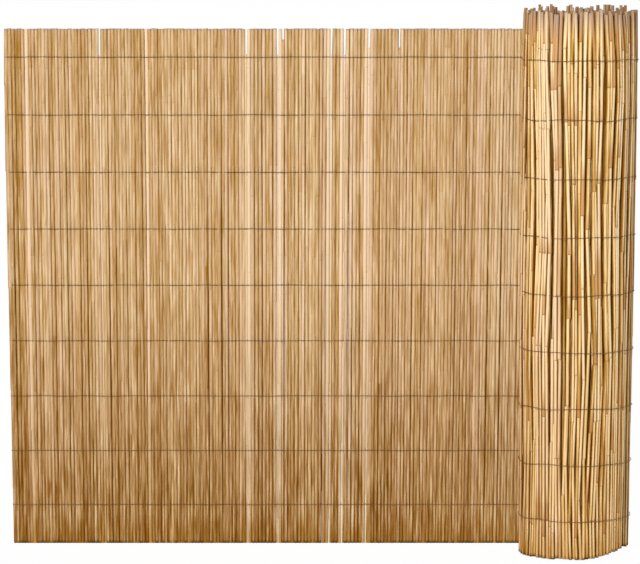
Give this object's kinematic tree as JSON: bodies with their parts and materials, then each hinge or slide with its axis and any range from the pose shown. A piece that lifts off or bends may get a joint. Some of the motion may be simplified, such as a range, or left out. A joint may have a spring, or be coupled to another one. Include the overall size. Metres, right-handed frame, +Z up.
{
  "type": "reed screening roll",
  "caption": "Roll of natural reed screening, one metre high, standing on end with a length of the wire-bound mat run out beside it.",
  "frame": {"origin": "on the axis of the roll's hollow middle, at the level of the cut ends that it stands on", "axes": "+Z up along the roll and its reeds, +X away from the run-out mat, +Y to the back, where the mat leaves the roll along a tangent and runs to -X"},
  "size_m": [1.2056, 0.2176, 1.054],
  "materials": {
    "reed": "matt dried reed",
    "wire": "dark weathered"
  },
  "bodies": {
    "root": {"inner_turns": "reed", "outer_turn_reeds": "reed", "run_out_reeds": "reed", "binding_wires": "wire"}
  },
  "joints": []
}
